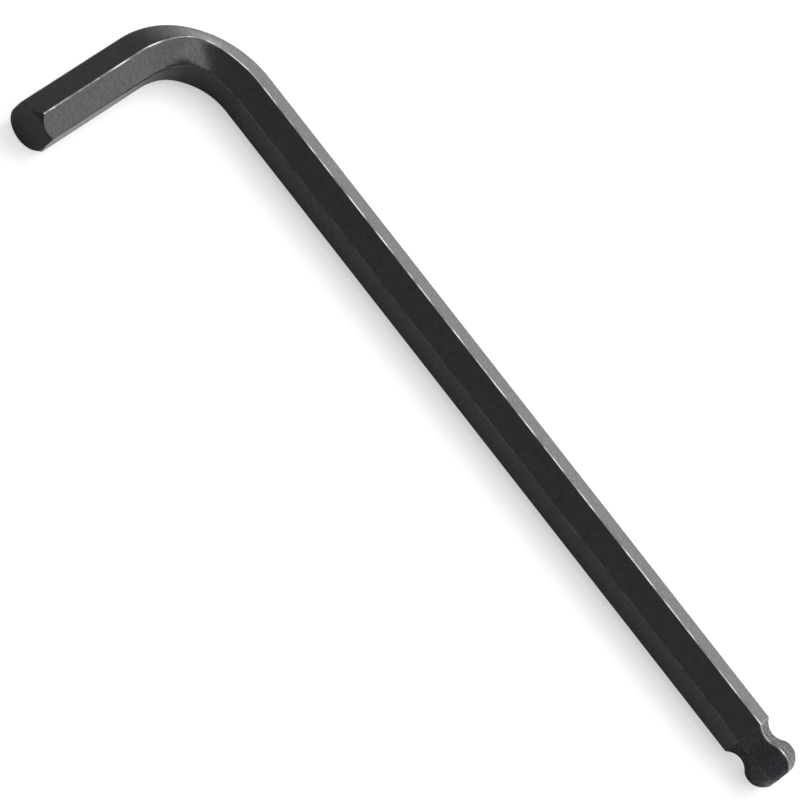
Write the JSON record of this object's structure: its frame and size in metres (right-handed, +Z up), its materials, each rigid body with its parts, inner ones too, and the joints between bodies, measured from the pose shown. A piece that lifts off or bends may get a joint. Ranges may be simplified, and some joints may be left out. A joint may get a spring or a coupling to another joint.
{
  "type": "hex key",
  "caption": "L-shaped hex key in black steel, with a hexagonal ball on the long arm and a chamfered end on the short arm.",
  "frame": {"origin": "on the surface that the key lies on, under the middle of its outline", "axes": "+X along the long arm towards the ball, +Y from the short arm's end towards the bend, +Z up, square to the plane of the bend"},
  "size_m": [0.16, 0.043, 0.009],
  "materials": {
    "black_oxide_steel": "black oxide on drawn steel, satin, with the corners a little bright"
  },
  "bodies": {
    "root": {"hex_key": "black_oxide_steel"}
  },
  "joints": []
}
